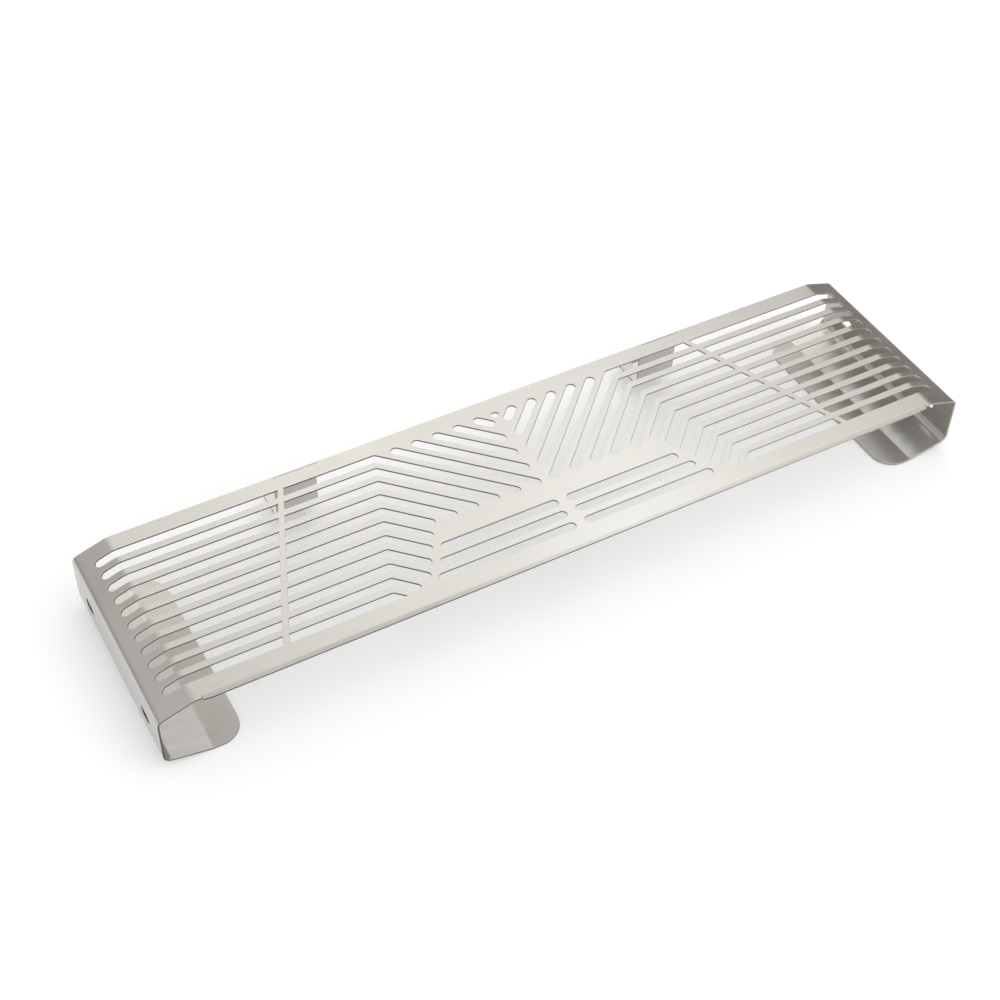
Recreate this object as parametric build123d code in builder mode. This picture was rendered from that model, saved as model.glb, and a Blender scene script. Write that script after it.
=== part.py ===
"""Folded stainless guard that fits over the front of a wide, low motorcycle radiator.

It is one sheet, cut flat and then bent: a slotted face, a sloping shoulder and a wall at each end,
a foot flange turned in under each wall, a stiffening lip along the near edge and two fixing tabs
on the far edge. Sizes are in millimetres with +Z up. The part stands on its foot flanges, face up,
with +X along the face and +Y towards the tabs. The origin is on the floor, below the middle of the
whole part.
"""
import os
from math import radians, tan

from build123d import *

# Sheet and its bends
sheet = 1.0  # thickness
sharp_bend = 1.0  # inside radius of the tabs' bends
wall_bend = 3.0  # inside radius between a shoulder and its wall
foot_bend = 4.0  # inside radius between a wall and its foot flange
soft_bend = 10.0  # inside radius of the shallow bends at the shoulders and along the lip
flange_bend = 8.0  # inside radius of the shallow bends in the foot flanges

# Face, shoulders, walls and foot flanges
overall_length = 445.0
overall_height = 39.0
face_width = 110.0
shoulder_run = 18.0  # along the face, from the shoulder's bend to the wall
shoulder_drop = 5.9  # from the face to the top of the wall
flange_rise = 4.8  # from the floor to the bottom of the wall
flange_slope_run = 23.3  # sloping part of the foot flange, next to the wall
flange_flat_run = 16.8  # part of the foot flange that lies on the floor
flange_corner = 12.0  # radius of the flange's inner corners

# Grille of bent slots
slot_width = 5.0
row_pitch = 8.55  # between the long slots, across the face
diagonal_pitch = 11.75  # between the slanted legs, along the face
edge_margin = 9.2  # plain strip beside the first slot, and the least beside the last one
end_margin = 8.0  # from a slot's outer end to the outside of the wall
first_turn = 68.5  # from the middle of the face to the turn of the far row
spine_width = 5.4  # plain strip in the middle, between the two mirrored halves
crossbar_place = 137.0  # from the middle of the face to the slanted bar across the long slots
crossbar_width = 3.0
crossbar_lean = 22.5  # degrees
centre_hole = 4.0  # diameter of the round hole between the two halves

# Plain slots in the lower middle, where the slanted legs stop
panel_top = 9.0  # from the middle of the grille down to the ends of the slanted legs
panel_half_length = 64.5  # along its upper side
panel_lean = 30.0  # degrees, of its two sides
panel_rim = 10.0  # from the ends of the slanted legs to the ends of the plain slots
panel_bar = 5.0  # least bar between the slanted legs and the first plain slot

# Lip along the near edge
lip_setback = 4.2  # from the shoulder's bend to the end of the lip
lip_reach = 1.4  # of the lip beyond the near edge of the shoulders
lip_inset = 0.7  # from that near edge in to the lip's bend
lip_lean = 7.0  # degrees, downwards
lip_end_run = 4.5  # along the lip, of the slant at each end of its edge
lip_end_rise = 0.4  # of the same slant

# Fixing tabs on the far edge
tab_spacing = 213.5
tab_width = 22.5
tab_drop = 29.5  # from the top of the face to the top of the tab's foot
tab_stand_off = 0.8  # of the tab's outer side beyond the face's far edge
tab_foot_reach = 23.0  # of the foot behind the face's far edge
tab_foot_corner = 4.0
tab_slot_length = 10.2
tab_slot_width = 5.2
tab_slot_setback = 14.4  # from the face's far edge to the slot

# Slots in the walls
wall_slot_length = 10.0
wall_slot_width = 5.5
wall_slot_spacing = 72.0
wall_slot_depth = 20.9  # below the top of the face

# Outside radii and the places that follow from the sizes above
sharp_outside = sharp_bend + sheet
wall_outside = wall_bend + sheet
foot_outside = foot_bend + sheet
soft_outside = soft_bend + sheet
flange_outside = flange_bend + sheet
bend_root = sharp_outside + sheet  # bend of a tab with a short flat piece behind it, also the lip's
half_length = overall_length / 2
face_length = overall_length - 2 * shoulder_run
lip_length = face_length - 2 * lip_setback
lip_fall = (lip_reach + lip_inset) * tan(radians(lip_lean))
face_y = (lip_reach - tab_foot_reach) / 2
near_y = face_y - face_width / 2
far_y = face_y + face_width / 2
back_y = far_y + tab_foot_reach
tab_y = far_y + tab_stand_off
tab_foot_top = overall_height - tab_drop
flange_bend_x = half_length - flange_slope_run
flange_end_x = flange_bend_x - flange_flat_run

# Rows of the grille, from the far edge to the near one, about the middle of the grille
row_count = int((face_width - 2 * edge_margin - slot_width) / row_pitch) + 1
row_places = [((row_count - 1) / 2 - row) * row_pitch for row in range(row_count)]
grille_width = (row_count - 1) * row_pitch + slot_width
grille_y = far_y - edge_margin - grille_width / 2
grille_depth = shoulder_drop + 2 * sheet
slot_outer_x = half_length - end_margin - slot_width / 2
slot_inner_x = (spine_width + slot_width) / 2
panel_slope = tan(radians(panel_lean))


def sheet_section(plane, corners, outer_radii):
    """Section of bent sheet: a line with rounded corners, thickened to its right-hand side."""
    with BuildSketch(plane) as section:
        with BuildLine():
            FilletPolyline(*corners, radius=outer_radii)
            offset(amount=sheet, side=Side.RIGHT)
        make_face()
    return section.sketch


def straight_slot(start, end):
    """Slot with round ends between two points on its centre line."""
    with BuildLine() as outline:
        Line(start, end)
        offset(amount=slot_width / 2)
    make_face(outline.edges())


def bent_slot(start, turn, end):
    """Slot with round ends that turns once, as two straight slots that share a round end."""
    straight_slot(start, turn)
    straight_slot(turn, end)


def panel_side(y):
    """Half length of the lower middle panel at a place across the face."""
    return panel_half_length + panel_slope * (-panel_top - y)


def leg_end(line):
    """End of the slanted leg whose centre line is x = y + line.

    The leg stops at the spine, at the panel's upper side, at its leaning side or in the last row,
    whichever it meets first.
    """
    side_y = (panel_half_length - panel_slope * panel_top - line) / (1 + panel_slope)
    y = max(slot_inner_x - line, min(-panel_top, side_y), row_places[-1])
    return (y + line, y)


# Right half of the section, from the face down to the foot flange, mirrored for the left half
right_corners = [
    (face_length / 2, overall_height),
    (half_length, overall_height - shoulder_drop),
    (half_length, flange_rise),
    (flange_bend_x, 0),
    (flange_end_x, 0),
]
right_radii = [soft_outside, wall_outside, foot_outside, flange_outside]
left_corners = [(-x, z) for x, z in reversed(right_corners)]
left_radii = list(reversed(right_radii))

with BuildPart() as guard:
    # Face, shoulders, walls and foot flanges in one bent section
    end_plane = Plane.XZ.offset(-face_y)
    extrude(
        sheet_section(end_plane, left_corners + right_corners, left_radii + right_radii),
        amount=face_width / 2,
        both=True,
    )
    flange_corners = guard.edges().filter_by(Axis.Z).filter_by_position(Axis.Z, 0, sheet)
    fillet(flange_corners, radius=flange_corner)

    # Strips of the face give way to the bends of the lip and of the tabs
    with BuildSketch(Plane.XY.offset(overall_height)):
        with Locations((0, near_y)):
            Rectangle(lip_length, 2 * bend_root)
        with Locations((-tab_spacing / 2, tab_y), (tab_spacing / 2, tab_y)):
            Rectangle(tab_width, 2 * bend_root)
    extrude(amount=-2 * sheet, mode=Mode.SUBTRACT)

    # Lip, from its edge up to the face, leaning down a little, with slanted ends
    lip_corners = [
        (near_y - lip_reach, overall_height - lip_fall),
        (near_y + lip_inset, overall_height),
        (near_y + bend_root, overall_height),
    ]
    extrude(
        sheet_section(Plane.YZ, lip_corners, [soft_outside]),
        amount=lip_length / 2,
        both=True,
    )
    lip_edge = guard.faces().sort_by(Axis.Y)[0]
    for end_edge in lip_edge.edges().filter_by(Axis.X, reverse=True):
        end_face = guard.faces().filter_by(Axis.X).sort_by_distance(end_edge)[0]
        chamfer(end_edge, length=lip_end_rise, length2=lip_end_run, reference=end_face)

    # Tabs, from the face down and then back to a foot that lies parallel to the face
    tab_corners = [
        (tab_y - bend_root, overall_height),
        (tab_y, overall_height),
        (tab_y, tab_foot_top),
        (back_y, tab_foot_top),
    ]
    for side in (-1, 1):
        extrude(
            sheet_section(
                Plane.YZ.offset(side * tab_spacing / 2),
                tab_corners,
                [sharp_outside, sharp_bend],
            ),
            amount=tab_width / 2,
            both=True,
        )
    foot_corners = guard.edges().filter_by(Axis.Z).group_by(Axis.Y)[-1]
    fillet(foot_corners, radius=tab_foot_corner)

    # Grille: long slots that turn into slanted legs, and shorter slanted slots beside the spine
    with BuildSketch(Plane((0, grille_y, overall_height))):
        far_row = row_places[0]
        far_line = first_turn - far_row
        for row, y in enumerate(row_places[:-1]):
            line = far_line + row * diagonal_pitch
            bent_slot((slot_outer_x, y), (y + line, y), leg_end(line))

        # The leg of the last row runs out of the grille, which trims it to a slant
        last_row = row_places[-1]
        last_turn = last_row + far_line + (row_count - 1) * diagonal_pitch
        bent_slot(
            (slot_outer_x, last_row),
            (last_turn, last_row),
            (last_turn - slot_width, last_row - slot_width),
        )
        Rectangle(overall_length, grille_width, mode=Mode.INTERSECT)

        short_count = int((first_turn - slot_inner_x) / diagonal_pitch)
        for step in range(1, short_count + 1):
            line = far_line - step * diagonal_pitch
            straight_slot((far_row + line, far_row), leg_end(line))

        with Locations((crossbar_place, 0)):
            Rectangle(crossbar_width, overall_length, crossbar_lean, mode=Mode.SUBTRACT)

        panel_limit = -panel_top - slot_width - panel_bar
        for y in [place for place in row_places if place < panel_limit]:
            straight_slot((panel_side(y) - panel_rim, y), (slot_inner_x, y))
        mirror(about=Plane.YZ)
        with Locations((0, far_row)):
            Circle(centre_hole / 2)
    extrude(amount=-grille_depth, mode=Mode.SUBTRACT)

    # Slots for clamps or screws through both walls
    with BuildSketch(Plane.YZ):
        with Locations((face_y, overall_height - wall_slot_depth)):
            with GridLocations(wall_slot_spacing, 0, 2, 1):
                SlotOverall(wall_slot_length, wall_slot_width)
    extrude(amount=overall_length, both=True, mode=Mode.SUBTRACT)

    # Slots for screws in the feet of the tabs
    with BuildSketch(Plane.XY.offset(tab_foot_top)):
        with Locations((0, far_y + tab_slot_setback)):
            with GridLocations(tab_spacing, 0, 2, 1):
                SlotOverall(tab_slot_length, tab_slot_width)
    extrude(amount=-2 * sheet, mode=Mode.SUBTRACT)

os.makedirs("parts", exist_ok=True)
guard.part.label = "guard"
export_step(guard.part, "parts/guard.step")
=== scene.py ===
"""Brushed stainless radiator guard on a white studio floor.

The guard is made as the real one is: a flat blank with its slots is cut first, and then it is folded.
The blank has two parameters in metres, u along the guard and v across it. Both are measured on the
outer side of the sheet, so on the flat face they are the frame's own X and Y.
"""
from math import atan2, ceil, cos, degrees, pi, radians, sin, tan

import bpy
import numpy as np
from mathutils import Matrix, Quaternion, Vector
from mathutils.geometry import delaunay_2d_cdt


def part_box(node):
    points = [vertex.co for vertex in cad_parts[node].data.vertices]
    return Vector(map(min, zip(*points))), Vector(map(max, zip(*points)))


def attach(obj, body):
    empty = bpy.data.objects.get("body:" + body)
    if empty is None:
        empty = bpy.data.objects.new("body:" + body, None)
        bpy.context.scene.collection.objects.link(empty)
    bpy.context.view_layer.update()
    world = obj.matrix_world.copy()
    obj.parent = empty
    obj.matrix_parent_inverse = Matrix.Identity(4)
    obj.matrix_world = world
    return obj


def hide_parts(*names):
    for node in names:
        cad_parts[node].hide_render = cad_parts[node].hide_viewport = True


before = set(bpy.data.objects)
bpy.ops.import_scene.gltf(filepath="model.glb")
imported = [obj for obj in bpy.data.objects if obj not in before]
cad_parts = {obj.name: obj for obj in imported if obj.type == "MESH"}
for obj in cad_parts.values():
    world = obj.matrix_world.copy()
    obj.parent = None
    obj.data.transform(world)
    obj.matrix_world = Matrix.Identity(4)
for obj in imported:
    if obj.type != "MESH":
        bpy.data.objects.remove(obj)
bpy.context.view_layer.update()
MM = 0.001

# Overall sizes, from the frame
(low_x, _, low_z), (high_x, high_y, top_z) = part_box("guard")
half_length = (high_x - low_x) / 2

# Sheet and the outside radii of its bends
sheet = 1.0 * MM
edge_break = 0.08 * MM  # small chamfer along every cut edge
slit = 0.12 * MM  # relief cut beside the lip and the tabs
tab_bend = 2.0 * MM
wall_bend = 4.0 * MM
foot_bend = 5.0 * MM
soft_bend = 11.0 * MM
flange_bend = 9.0 * MM

# Face, shoulders and foot flanges
face_width = 110.0 * MM
shoulder_run = 18.0 * MM
shoulder_drop = 5.9 * MM
flange_rise = 4.8 * MM
flange_slope_run = 23.3 * MM
flange_flat_run = 16.8 * MM
flange_corner = 12.0 * MM

# Lip along the near edge
lip_setback = 4.2 * MM
lip_reach = 1.4 * MM
lip_inset = 0.7 * MM
lip_lean = radians(7)
lip_end_run = 4.5 * MM
lip_end_rise = 0.4 * MM

# Fixing tabs on the far edge
tab_spacing = 213.5 * MM
tab_width = 22.5 * MM
tab_drop = 29.5 * MM
tab_stand_off = 0.8 * MM
tab_foot_reach = 23.0 * MM
tab_foot_corner = 4.0 * MM
tab_slot_length = 10.2 * MM
tab_slot_width = 5.2 * MM
tab_slot_setback = 14.4 * MM

# Slots in the walls
wall_slot_length = 10.0 * MM
wall_slot_width = 5.5 * MM
wall_slot_spacing = 72.0 * MM
wall_slot_depth = 20.9 * MM

# Grille of bent slots, and the plain slots in the lower middle
slot_width = 5.0 * MM
row_pitch = 8.55 * MM
row_count = 11
diagonal_pitch = 11.75 * MM
edge_margin = 9.2 * MM
end_margin = 8.0 * MM
first_turn = 68.5 * MM
spine_width = 5.4 * MM
crossbar_place = 137.0 * MM
crossbar_width = 3.0 * MM
crossbar_lean = radians(22.5)
centre_hole = 4.0 * MM
panel_top = 9.0 * MM
panel_half_length = 64.5 * MM
panel_lean = radians(30)
panel_rim = 10.0 * MM
panel_bar = 5.0 * MM

# Fineness of the mesh
facet = radians(4)  # of a bend
bend_margin = 0.4 * MM  # last line of points before a bend, which keeps the flat stretches flat
round_sides = 12  # of a slot's end or a tab's corner
flange_corner_sides = 24
hole_sides = 24
fold_samples = 4001  # from the middle of the face to the wall, by which u is found for a given X
rounding = 1e-5  # of the triangulation, in millimetres
least_product = -0.6  # of two sides' normals, which limits how far a sharp point is drawn in
sharp_edge = radians(30)  # least angle between two faces that is shaded as an edge

# Brushed finish: waves per metre of each pattern along its axes, and the share by which it changes the tone
steel = (0.57, 0.562, 0.543)
grain_waves = (60, 4500, 0)
grain_detail = 3.0
grain_change = 0.04
grain_roughness = (0.27, 0.35)
grain_depth = 0.02 * MM
grain_strength = 0.12
streak_waves = (14, 900, 0)
streak_change = 0.015
cloud_waves = (28, 28, 28)
cloud_change = 0.025
cloud_roughness = (-0.02, 0.03)
highlight_stretch = 0.75
quarter_turn = 0.25  # of the highlight, from along the grain to across it
# painted shade: share by which the lip is darkened from its bend to its edge, in place of its darker
# reflection
lip_painted_shade = 0.21
noise_middle = (0.3, 0.7)  # the part of a noise that is used

# Walls of the cuts: tones between two places along the guard
cut_tint = (1.0, 0.93, 0.85)
cut_mark_waves = (2600, 2600, 300)
cut_mark_change = 0.25
cut_roughness = (0.5, 0.65)
slot_cut_places = (-100 * MM, 210 * MM)
slot_cut_tones = (0.13, 0.42)
lip_cut_places = (-130 * MM, 170 * MM)
lip_cut_tones = (0.05, 0.72)  # before they are squared

# Floor, lamps and room
white = (1, 1, 1, 1)
floor_half = 15.0
floor_drop = 0.3 * MM  # below the guard, so that the two don't touch
floor_paint = (0.905, 0.92, 0.935, 1)
floor_glow = 0.24  # share of plain white in the floor that is seen
warm_lamp = (0.985, 1.0, 0.95)
cool_lamp = (0.92, 1.0, 1.08)
wide_box = (1.7, 0.45)
small_box = (0.22, 0.26)
room_shade = (1, 0.86, 0.72, 1)
slope_middle = (238, 60)  # azimuth and elevation
slope_cosines = (-0.35, 1.0)
slope_strengths = (0.15, 1.04)
crown_middle = (300, 50)
crown_cosines = (0.45, 0.95)
crown_strengths = (0.0, 0.9)

# Camera
lens_length = 62.97
sensor_width = 36.0
nearest_seen = 0.01
camera_place = (-0.32423, -0.5333, 0.65267)
camera_turn = (radians(43.938), radians(-1.131), radians(-28.976))

# Places that follow from the sizes
far_y = high_y - tab_foot_reach
near_y = far_y - face_width
face_y = (far_y + near_y) / 2
tab_x = tab_spacing / 2
tab_y = far_y + tab_stand_off
face_half = half_length - shoulder_run
lip_half = face_half - lip_setback
flange_bend_x = half_length - flange_slope_run
grille_width = (row_count - 1) * row_pitch + slot_width
grille_y = far_y - edge_margin - grille_width / 2
row_places = ((row_count - 1) / 2 - np.arange(row_count)) * row_pitch
slot_outer_x = half_length - end_margin - slot_width / 2
slot_inner_x = (spine_width + slot_width) / 2
mirrored = np.array([-1.0, 1.0])


class Fold:
    """Line with rounded corners in a plane, measured by its length.

    At each corner an arc of the given radius touches both sides, which each lose the radius times the
    tangent of half the turn. A stretch keeps its start, heading and curvature. Stretches are straight
    and round by turns, and the first is straight.
    """

    def __init__(self, corners, radii):
        corners = np.array(corners, dtype=float)
        sides = np.diff(corners, axis=0)
        heading = np.unwrap(np.arctan2(sides[:, 1], sides[:, 0]))
        turn = np.diff(heading)
        lost = np.array(radii) * np.tan(np.abs(turn) / 2)
        length = np.empty(2 * len(sides) - 1)
        length[0::2] = np.hypot(*sides.T) - np.append(lost, 0) - np.append(0, lost)
        length[1::2] = np.array(radii) * np.abs(turn)
        self.curvature = np.zeros(len(length))
        self.curvature[1::2] = turn / length[1::2]
        self.heading = np.repeat(heading, 2)[:-1]
        self.begin = np.append(0, np.cumsum(length))
        step = self.walk(np.arange(len(length)), length)
        self.start = corners[0] + np.vstack([np.zeros(2), np.cumsum(step, axis=0)[:-1]])

    def walk(self, stretch, distance):
        """Chord of a stretch: the distance times sin(a) / a, turned by a, where a is half the turn."""
        half_turn = self.curvature[stretch] * distance / 2
        chord = distance * np.sinc(half_turn / pi)
        angle = self.heading[stretch] + half_turn
        return np.stack([chord * np.cos(angle), chord * np.sin(angle)], axis=-1)

    def at(self, length):
        """Points at the given lengths: the stretch's start plus the chord, with left-hand unit normals."""
        stretch = np.searchsorted(self.begin[1:-1], length, side="right")
        distance = length - self.begin[stretch]
        angle = self.heading[stretch] + self.curvature[stretch] * distance
        place = self.start[stretch] + self.walk(stretch, distance)
        normal = np.stack([-np.sin(angle), np.cos(angle)], axis=-1)
        return place, normal

    def lines(self):
        """Lengths where the folded sheet needs a line of points: facets of the bends and their margins."""
        found = []
        for bend in range(1, len(self.curvature), 2):
            first, last = self.begin[bend], self.begin[bend + 1]
            count = ceil(abs(self.curvature[bend]) * (last - first) / facet)
            found += [[first - bend_margin], np.linspace(first, last, count + 1), [last + bend_margin]]
        return np.concatenate(found)


# Fold along the guard, from the left foot flange over the face to the right one, in X and Z
right_corners = [
    (face_half, top_z),
    (half_length, top_z - shoulder_drop),
    (half_length, low_z + flange_rise),
    (flange_bend_x, low_z),
    (flange_bend_x - flange_flat_run, low_z),
]
right_radii = [soft_bend, wall_bend, foot_bend, flange_bend]
along = Fold([(-x, z) for x, z in right_corners[::-1]] + right_corners, right_radii[::-1] + right_radii)
right_wall = 12  # its stretch of the fold
u_end = along.begin[-1] / 2

# Fold across it, from the edge of the lip over the face and down a tab to the end of its foot, in Y and Z
lip_fall = (lip_reach + lip_inset) * tan(lip_lean)
across = Fold(
    [
        (near_y - lip_reach, top_z - lip_fall),
        (near_y + lip_inset, top_z),
        (tab_y, top_z),
        (tab_y, top_z - tab_drop),
        (far_y + tab_foot_reach, top_z - tab_drop),
    ],
    [soft_bend, tab_bend, tab_bend - sheet],
)
flat_face = 2  # its stretch of the fold
v_shift = across.begin[flat_face] - across.start[flat_face, 0]
v_lip = -v_shift
v_tab = across.begin[-1] - v_shift
lip_root = across.begin[flat_face] - v_shift
tab_root = across.begin[flat_face + 1] - v_shift


def arc(centre, radius, first, last, sides=round_sides):
    """Points of a round stretch: the centre plus the radius, turned from the first angle to the last."""
    angle = np.radians(np.linspace(first, last, sides + 1))
    return np.array(centre) + radius * np.stack([np.cos(angle), np.sin(angle)], axis=-1)


def slot(start, end, width=slot_width):
    """Outline of a slot: a half circle round each end of its centre line, joined by straight sides."""
    heading = degrees(atan2(end[1] - start[1], end[0] - start[0]))
    return np.vstack([
        arc(end, width / 2, heading - 90, heading + 90),
        arc(start, width / 2, heading + 90, heading + 270),
    ])


def on_blank(outline):
    """The same outline on the blank: over a shoulder, u is the length of the fold that has that X."""
    u = np.linspace(0, along.begin[right_wall] - u_end, fold_samples)
    x = along.at(u + u_end)[0][:, 0]
    unrolled = np.interp(np.abs(outline[:, 0]), x, u)
    return np.stack([np.sign(outline[:, 0]) * unrolled, outline[:, 1]], axis=-1)


def leg_end(line):
    """End of the slanted leg x = y + line: at the spine, at the panel's top or side, or in the last row."""
    slope = tan(panel_lean)
    side_y = (panel_half_length - slope * panel_top - line) / (1 + slope)
    y = max(slot_inner_x - line, min(-panel_top, side_y), row_places[-1])
    return (y + line, y)


def grille_slots():
    """Outlines of the right half of the grille, from its middle: the rows, which the crossbar cuts, with
    their legs, and then the plain ones. A leg runs on from its row's turn, on a line x = y + line."""
    far_row, last_row = row_places[0], row_places[-1]
    far_line = first_turn - far_row
    rows, plain = [], []
    for row, y in enumerate(row_places):
        line = far_line + row * diagonal_pitch
        end = leg_end(line) if y > last_row else (y + line - slot_width, y - slot_width)
        rows += [slot((slot_outer_x, y), (y + line, y)), slot((y + line, y), end)]
    for step in range(1, int((first_turn - slot_inner_x) / diagonal_pitch) + 1):
        line = far_line - step * diagonal_pitch
        plain.append(slot((far_row + line, far_row), leg_end(line)))
    for y in row_places[row_places < -panel_top - slot_width - panel_bar]:
        side = panel_half_length + tan(panel_lean) * (-panel_top - y)
        plain.append(slot((slot_inner_x, y), (side - panel_rim, y)))
    return rows, plain


def both_halves(outlines):
    """The outlines and their mirror images."""
    return outlines + [outline * mirrored for outline in outlines]


def round_hole():
    """Outline of the hole at the far end of the spine: a circle."""
    step = 360 / hole_sides
    return arc((0, grille_y + row_places[0]), centre_hole / 2, 0, 360 - step, hole_sides - 1)


def screw_slots():
    """Outlines of the slots for screws on the blank: two in each wall, and one in the foot of each tab."""
    found = []
    wall_u = along.begin[right_wall] + along.start[right_wall, 1] - (top_z - wall_slot_depth) - u_end
    straight = (wall_slot_length - wall_slot_width) / 2
    for side in (-1, 1):
        v = face_y + side * wall_slot_spacing / 2
        found += both_halves([slot((wall_u, v - straight), (wall_u, v + straight), wall_slot_width)])
    foot_v = v_tab - tab_foot_reach + tab_slot_setback
    straight = (tab_slot_length - tab_slot_width) / 2
    found += both_halves([slot((tab_x - straight, foot_v), (tab_x + straight, foot_v), tab_slot_width)])
    return found


def blank_outline():
    """Outer outline of the blank: the right half from the lip round to the far edge, and its mirror image."""
    tab_left, tab_right = tab_x - tab_width / 2, tab_x + tab_width / 2
    right = np.vstack([
        [(lip_half - lip_end_run, v_lip), (lip_half, v_lip + lip_end_rise)],
        [(lip_half, lip_root), (lip_half + slit, lip_root), (lip_half + slit, near_y)],
        arc((u_end - flange_corner, near_y + flange_corner), flange_corner, -90, 0, flange_corner_sides),
        arc((u_end - flange_corner, far_y - flange_corner), flange_corner, 0, 90, flange_corner_sides),
        [(tab_right + slit, far_y), (tab_right + slit, tab_root), (tab_right, tab_root)],
        arc((tab_right - tab_foot_corner, v_tab - tab_foot_corner), tab_foot_corner, 0, 90),
        arc((tab_left + tab_foot_corner, v_tab - tab_foot_corner), tab_foot_corner, 90, 180),
        [(tab_left, tab_root), (tab_left - slit, tab_root), (tab_left - slit, far_y)],
    ])
    return np.vstack([right, right[::-1] * mirrored])


def trim_lines(grille_middle, grille_edge):
    """Lines at which rows of the grille are cut off: level below the turn of the last row, where its leg
    would run on, and along both sides of the crossbars, at half the crossbar's width from its middle."""
    last_turn = first_turn - row_places[0] + (row_count - 1) * diagonal_pitch + row_places[-1]
    leg_side, row_side = last_turn - 4 * slot_width, last_turn + 2 * slot_width
    trims = [np.array([(leg_side, grille_edge), (row_side, grille_edge)])]
    bar = np.array([-sin(crossbar_lean), cos(crossbar_lean)]) * face_width
    for side in (-1, 1):
        place = grille_middle + (crossbar_place + side * crossbar_width / 2 / cos(crossbar_lean), 0)
        trims.append(np.array([place - bar / 2, place + bar / 2]))
    return both_halves(trims)


def fold_lines():
    """Lines of points on the blank at the bends: right across it, along the lip, and across each tab."""
    folds = []
    for u in along.lines() - u_end:
        folds.append(np.array([(u, near_y - sheet), (u, far_y + sheet)]))
    lip_half_line = lip_half + slit / 2
    tab_half_line = (tab_width + slit) / 2
    for v in across.lines() - v_shift:
        if v < face_y:
            folds.append(np.array([(-lip_half_line, v), (lip_half_line, v)]))
        else:
            folds += both_halves([np.array([(tab_x - tab_half_line, v), (tab_x + tab_half_line, v)])])
    return folds


def triangulated(outlines, lines):
    """Points and triangles of the plane, with triangle sides along the closed outlines and the lines."""
    sides = []
    first = 0
    for index, line in enumerate(outlines + lines):
        numbers = np.arange(first, first + len(line))
        pairs = np.stack([numbers, np.roll(numbers, -1)], axis=-1)
        sides.append(pairs if index < len(outlines) else pairs[:-1])
        first += len(line)
    # Worked out in millimetres, where the rounding of the triangulation suits the sizes
    flat = list(map(Vector, np.vstack(outlines + lines) / MM))
    found = delaunay_2d_cdt(flat, np.vstack(sides).tolist(), [], 0, rounding, False)
    return np.array(found[0]) * MM, np.array(found[2])


def inside(places, outline):
    """Whether each place is inside an outline: a ray from it along +u crosses an odd number of sides."""
    u, v = places[:, :1], places[:, 1:]
    (au, av), (bu, bv) = outline.T, np.roll(outline, -1, axis=0).T
    level = np.where(bv == av, 1, bv - av)
    crossed = ((av > v) != (bv > v)) & (u < au + (v - av) / level * (bu - au))
    return crossed.sum(axis=1) % 2 == 1


def cut_blank():
    """Points and triangles of the flat blank: the plane between all outlines and fold lines is
    triangulated, and the triangles whose middle is on the sheet and in no slot are kept."""
    grille_middle = np.array([0, grille_y])
    grille_edge = grille_y - grille_width / 2
    outline = blank_outline()
    rows, plain = grille_slots()
    rows = [on_blank(row + grille_middle) for row in both_halves(rows)]
    plain = [on_blank(opening + grille_middle) for opening in both_halves(plain)]
    plain += [round_hole()] + screw_slots()
    lines = trim_lines(grille_middle, grille_edge) + fold_lines()
    points, triangles = triangulated([outline] + rows + plain, lines)

    centres = points[triangles].mean(axis=1)
    from_crossbar = (np.abs(centres[:, 0]) - crossbar_place) * cos(crossbar_lean)
    from_crossbar += (centres[:, 1] - grille_y) * sin(crossbar_lean)
    in_rows = np.any([inside(centres, row) for row in rows], axis=0) & (centres[:, 1] > grille_edge)
    cut_out = in_rows & (np.abs(from_crossbar) > crossbar_width / 2)
    cut_out |= np.any([inside(centres, opening) for opening in plain], axis=0)
    triangles = triangles[inside(centres, outline) & ~cut_out]
    used, triangles = np.unique(triangles, return_inverse=True)
    return points[used], triangles.reshape(-1, 3)


def folded(blank, depth):
    """Places of blank points at a depth under the outer side: the fold along gives X and Z, the fold
    across gives Y and Z in the lip and the tabs, and the depth goes against the fold's normal."""
    u, v = blank.T
    in_lip = (np.abs(u) < lip_half + slit / 2) & (v < lip_root)
    in_tab = (np.abs(np.abs(u) - tab_x) < (tab_width + slit) / 2) & (v > tab_root)
    turned = in_lip | in_tab
    long_place, long_normal = along.at(u + u_end)
    cross_place, cross_normal = across.at(v + v_shift)
    cross_place = cross_place - depth * cross_normal
    x = long_place[:, 0] - depth * np.where(turned, 0, long_normal[:, 0])
    y = np.where(turned, cross_place[:, 0], v)
    z = np.where(turned, cross_place[:, 1], long_place[:, 1] - depth * long_normal[:, 1])
    return np.stack([x, y, z], axis=-1)


def rim_sides(triangles):
    """Sides that only one triangle has, as pairs of points with the sheet on their left."""
    sides = np.vstack([triangles[:, [0, 1]], triangles[:, [1, 2]], triangles[:, [2, 0]]])
    size = triangles.max() + 1
    return sides[~np.isin(sides[:, 0] * size + sides[:, 1], sides[:, 1] * size + sides[:, 0])]


def drawn_in(points, rim, distance):
    """The points, with those of the rim moved in: along the sum of the two sides' normals, divided by
    one plus their product, which keeps the distance to both sides."""
    heading = points[rim[:, 1]] - points[rim[:, 0]]
    heading /= np.linalg.norm(heading, axis=1, keepdims=True)
    normal = heading[:, ::-1] * mirrored
    before, after = np.zeros_like(points), np.zeros_like(points)
    after[rim[:, 0]], before[rim[:, 1]] = normal, normal
    product = np.maximum((before * after).sum(axis=1, keepdims=True), least_product)
    return points + distance * (before + after) / (1 + product)


def placed(name, data):
    """A new object in the scene for a mesh, a lamp or a camera."""
    made = bpy.data.objects.new(name, data)
    bpy.context.scene.collection.objects.link(made)
    return made


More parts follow.
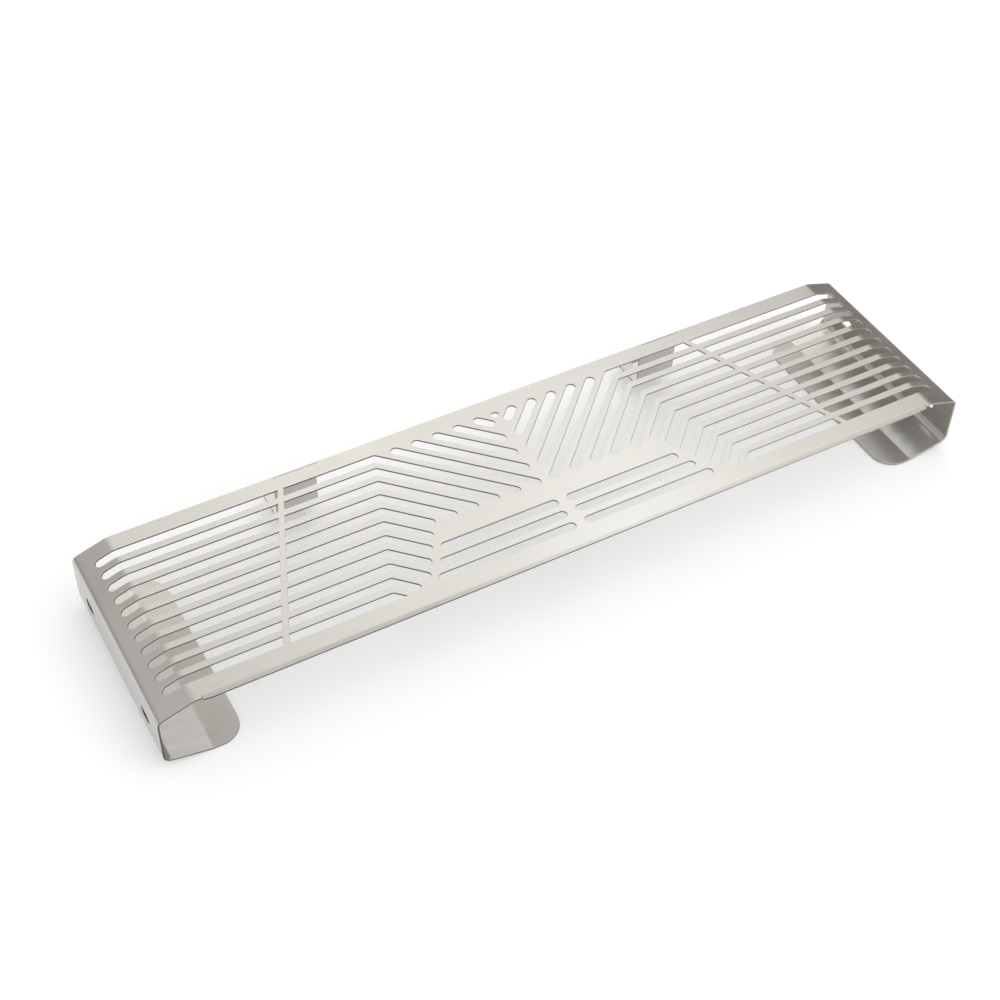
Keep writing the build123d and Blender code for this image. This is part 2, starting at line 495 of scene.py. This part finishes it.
def guard_sheet():
    """The folded sheet as one closed mesh: outer side, inner side and, along every cut edge, a chamfer,
    a wall and a chamfer. The cut walls get the second material."""
    blank, triangles = cut_blank()
    rim = rim_sides(triangles)
    inner = drawn_in(blank, rim, edge_break)
    layers = [(inner, 0), (blank, edge_break), (blank, sheet - edge_break), (inner, sheet)]
    places = np.vstack([folded(points, depth) for points, depth in layers])
    blank_places = np.vstack([points for points, depth in layers])

    count = len(blank)
    bands = len(layers) - 1
    band = np.stack([rim[:, 1], rim[:, 0], rim[:, 0] + count, rim[:, 1] + count], axis=-1)
    quads = np.vstack([band + layer * count for layer in range(bands)])
    underside = triangles[:, ::-1] + bands * count
    faces = np.concatenate([triangles.ravel(), underside.ravel(), quads.ravel()])
    sizes = np.concatenate([np.full(2 * len(triangles), 3), np.full(len(quads), 4)])
    first_wall = 2 * len(triangles) + len(rim)
    is_wall = np.zeros(len(sizes), dtype=np.int32)
    is_wall[first_wall:first_wall + len(rim)] = 1
    blank_places = blank_places[faces]
    used, faces = np.unique(faces, return_inverse=True)
    places = places[used]

    mesh = bpy.data.meshes.new("guard_sheet")
    mesh.vertices.add(len(places))
    mesh.vertices.foreach_set("co", places.ravel())
    mesh.loops.add(len(faces))
    mesh.loops.foreach_set("vertex_index", faces)
    mesh.polygons.add(len(sizes))
    mesh.polygons.foreach_set("loop_start", np.cumsum(sizes) - sizes)
    mesh.polygons.foreach_set("material_index", is_wall)
    mesh.update(calc_edges=True)
    mesh.shade_smooth()
    mesh.set_sharp_from_angle(angle=sharp_edge)
    mesh.uv_layers.new(name="blank").data.foreach_set("uv", blank_places.ravel())
    mesh.validate()
    return placed("guard_sheet", mesh)


def node(tree, kind, operation=None, **inputs):
    """Adds a shader node and sets its sockets by name, or by number where the name is an underscore and
    a number. A socket given as an output is linked to it."""
    made = tree.nodes.new(kind)
    if operation:
        made.operation = operation
    for name, value in inputs.items():
        socket = made.inputs[int(name[1:])] if name[0] == "_" else made.inputs[name.replace("_", " ")]
        if isinstance(value, bpy.types.NodeSocket):
            tree.links.new(value, socket)
        else:
            socket.default_value = value
    return made


def maths(tree, operation, first, second):
    """Two values put together by one operation."""
    return node(tree, "ShaderNodeMath", operation, _0=first, _1=second).outputs[0]


def ranged(tree, value, start, end):
    """A value carried from one range to another, and kept inside it."""
    ends = {"From_Min": start[0], "From_Max": start[1], "To_Min": end[0], "To_Max": end[1]}
    return node(tree, "ShaderNodeMapRange", Value=value, **ends).outputs[0]


def noise(tree, place, waves, detail=2.0):
    """Even noise about one half, with the given number of waves per metre along each axis of a place."""
    scaled = node(tree, "ShaderNodeVectorMath", "MULTIPLY", _0=place, _1=waves).outputs[0]
    return node(tree, "ShaderNodeTexNoise", Vector=scaled, Scale=1.0, Detail=detail).outputs["Fac"]


def spread(tree, pattern, ends):
    """The middle part of a noise, spread between two values."""
    return ranged(tree, pattern, noise_middle, ends)


def tone(tree, pattern, change):
    """A noise as a shade about one, which it leaves by the given change at most."""
    return spread(tree, pattern, (1 - change, 1 + change))


def tinted(tree, tint, *shades):
    """A colour times several grey shades."""
    total = shades[0]
    for shade in shades[1:]:
        total = maths(tree, "MULTIPLY", total, shade)
    return node(tree, "ShaderNodeVectorMath", "SCALE", _0=tint, Scale=total).outputs[0]


def metal(name):
    """A metal material, with its node tree and shader."""
    material = bpy.data.materials.new(name)
    material.use_nodes = True
    shader = material.node_tree.nodes["Principled BSDF"]
    shader.inputs["Metallic"].default_value = 1.0
    return material, material.node_tree, shader


def brushed_stainless():
    """Satin stainless: a fine grain along the blank, broken streaks, and wide, soft changes of tone.

    The grain spreads reflections across itself, so the highlight is stretched along v. The lip is a
    shade darker from its bend to its edge: a painted shade, which stands in for the darker reflection
    that the lip catches.
    """
    material, tree, shader = metal("brushed_stainless")
    unfolded = node(tree, "ShaderNodeUVMap")
    unfolded.uv_map = "blank"
    blank = unfolded.outputs[0]
    apart = node(tree, "ShaderNodeSeparateXYZ", Vector=blank).outputs
    from_middle = node(tree, "ShaderNodeMath", "ABSOLUTE", _0=apart["X"]).outputs[0]
    # Painted shade: the lip is darkened from its bend to its edge, in place of the darker reflection it
    # catches
    in_lip = maths(tree, "LESS_THAN", from_middle, lip_half)
    lip_painted_dark = ranged(tree, apart["Y"], (lip_root, near_y), (0.0, lip_painted_shade))
    lip_painted_tone = maths(tree, "SUBTRACT", 1.0, maths(tree, "MULTIPLY", in_lip, lip_painted_dark))
    grain = noise(tree, blank, grain_waves, grain_detail)
    streaks = noise(tree, blank, streak_waves)
    clouds = noise(tree, node(tree, "ShaderNodeTexCoord").outputs["Object"], cloud_waves)
    colour = tinted(
        tree,
        steel,
        tone(tree, grain, grain_change),
        tone(tree, streaks, streak_change),
        tone(tree, clouds, cloud_change),
        lip_painted_tone,
    )
    rough = maths(tree, "ADD", spread(tree, grain, grain_roughness), spread(tree, clouds, cloud_roughness))
    bump = node(tree, "ShaderNodeBump", Strength=grain_strength, Distance=grain_depth, Height=grain)
    along_grain = node(tree, "ShaderNodeTangent")
    along_grain.direction_type = "UV_MAP"
    along_grain.uv_map = "blank"
    tree.links.new(colour, shader.inputs["Base Color"])
    tree.links.new(rough, shader.inputs["Roughness"])
    tree.links.new(bump.outputs[0], shader.inputs["Normal"])
    tree.links.new(along_grain.outputs[0], shader.inputs["Tangent"])
    shader.inputs["Anisotropic"].default_value = highlight_stretch
    shader.inputs["Anisotropic Rotation"].default_value = quarter_turn
    return material


def cut_edge():
    """Rough wall of a laser cut: brownish, darker towards the left end, most of all along the lip, with fine
    marks.
    """
    material, tree, shader = metal("cut_edge")
    place = node(tree, "ShaderNodeTexCoord").outputs["Object"]
    marks = noise(tree, place, cut_mark_waves)
    apart = node(tree, "ShaderNodeSeparateXYZ", Vector=place).outputs
    slots = ranged(tree, apart["X"], slot_cut_places, slot_cut_tones)
    lip = maths(tree, "POWER", ranged(tree, apart["X"], lip_cut_places, lip_cut_tones), 2.0)
    on_lip = maths(tree, "LESS_THAN", apart["Y"], near_y - lip_reach / 2)
    # Sockets 2 and 3 of a mix are its two numbers
    bright = node(tree, "ShaderNodeMix", _0=on_lip, _2=slots, _3=lip).outputs[0]
    colour = tinted(tree, cut_tint, bright, tone(tree, marks, cut_mark_change))
    tree.links.new(colour, shader.inputs["Base Color"])
    tree.links.new(spread(tree, marks, cut_roughness), shader.inputs["Roughness"])
    return material


def white_floor():
    """Large level floor just under the guard. What is seen of it is partly plain white, and the rest is
    matt paint, which keeps the soft shadow."""
    signs = [(-1, -1), (1, -1), (1, 1), (-1, 1)]
    corners = [(x * floor_half, y * floor_half, -floor_drop) for x, y in signs]
    mesh = bpy.data.meshes.new("floor")
    mesh.from_pydata(corners, [], [(0, 1, 2, 3)])
    material = bpy.data.materials.new("white_floor")
    material.use_nodes = True
    tree = material.node_tree
    tree.nodes.clear()
    matt = node(tree, "ShaderNodeBsdfDiffuse", Color=floor_paint).outputs[0]
    glow = node(tree, "ShaderNodeEmission", Color=white, Strength=1.0).outputs[0]
    path = node(tree, "ShaderNodeLightPath").outputs
    seen = maths(tree, "MAXIMUM", path["Is Camera Ray"], path["Is Glossy Ray"])
    seen = maths(tree, "MAXIMUM", seen, path["Is Transmission Ray"])
    share = maths(tree, "MULTIPLY", seen, floor_glow)
    blend = node(tree, "ShaderNodeMixShader", Fac=share, _1=matt, _2=glow)
    node(tree, "ShaderNodeOutputMaterial", Surface=blend.outputs[0])
    mesh.materials.append(material)
    placed("floor", mesh)


def direction(azimuth, elevation):
    """Unit vector with the azimuth from +X towards +Y and the elevation from the floor, in degrees."""
    azimuth, elevation = radians(azimuth), radians(elevation)
    return Vector((cos(azimuth) * cos(elevation), sin(azimuth) * cos(elevation), sin(elevation)))


def softbox(name, azimuth, elevation, distance, size, radiance, tint=warm_lamp, tilt=0):
    """Rectangular lamp that faces the guard, tilted in its own plane; its power is the radiance times
    pi times its area."""
    lamp = bpy.data.lights.new(name, "AREA")
    lamp.shape = "RECTANGLE"
    lamp.size, lamp.size_y = size
    lamp.energy = radiance * pi * size[0] * size[1]
    lamp.color = tint
    lit = placed(name, lamp)
    lit.location = direction(azimuth, elevation) * distance
    facing = (-lit.location).to_track_quat("-Z", "Y")
    lit.rotation_euler = (facing @ Quaternion((0, 0, 1), radians(tilt))).to_euler()


def studio_room():
    """Soft room in which the light follows the cosine of the angle from a direction: a wide slope that is
    brightest at the front left, and a smaller crown on top of it at the front right. Where the slope is
    weak, at the back, the light is warmer."""
    world = bpy.data.worlds.new("studio")
    bpy.context.scene.world = world
    world.use_nodes = True
    tree = world.node_tree
    around = node(tree, "ShaderNodeTexCoord").outputs["Generated"]
    front_left, front_right = [
        node(tree, "ShaderNodeVectorMath", "DOT_PRODUCT", _0=around, _1=direction(*middle)).outputs["Value"]
        for middle in (slope_middle, crown_middle)
    ]
    slope = ranged(tree, front_left, slope_cosines, slope_strengths)
    crown = ranged(tree, front_right, crown_cosines, crown_strengths)
    crown.node.interpolation_type = "SMOOTHSTEP"
    # Sockets 6 and 7 of a mix are its two colours, and its third output is a colour
    tint = node(tree, "ShaderNodeMix", _0=slope, _6=room_shade, _7=white)
    tint.data_type = "RGBA"
    background = tree.nodes["Background"].inputs
    tree.links.new(maths(tree, "ADD", slope, crown), background["Strength"])
    tree.links.new(tint.outputs[2], background["Color"])


def photo_camera():
    """Camera at the photograph's viewing angle."""
    lens = bpy.data.cameras.new("camera")
    lens.lens = lens_length
    lens.sensor_width = sensor_width
    lens.clip_start = nearest_seen
    camera = placed("camera", lens)
    camera.location = camera_place
    camera.rotation_euler = camera_turn
    bpy.context.scene.camera = camera


guard = guard_sheet()
guard.data.materials.append(brushed_stainless())
guard.data.materials.append(cut_edge())
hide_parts("guard")
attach(guard, "root")

white_floor()
softbox("wide_softbox", azimuth=68, elevation=46, distance=1.5, size=wide_box, radiance=1.24, tilt=-14)
softbox("key_softbox", azimuth=39, elevation=58, distance=1.4, size=small_box, radiance=2.25, tint=cool_lamp)
softbox("side_softbox", azimuth=73.5, elevation=45, distance=1.4, size=small_box, radiance=0.65)
studio_room()
photo_camera()
bpy.context.scene.view_settings.view_transform = "Standard"
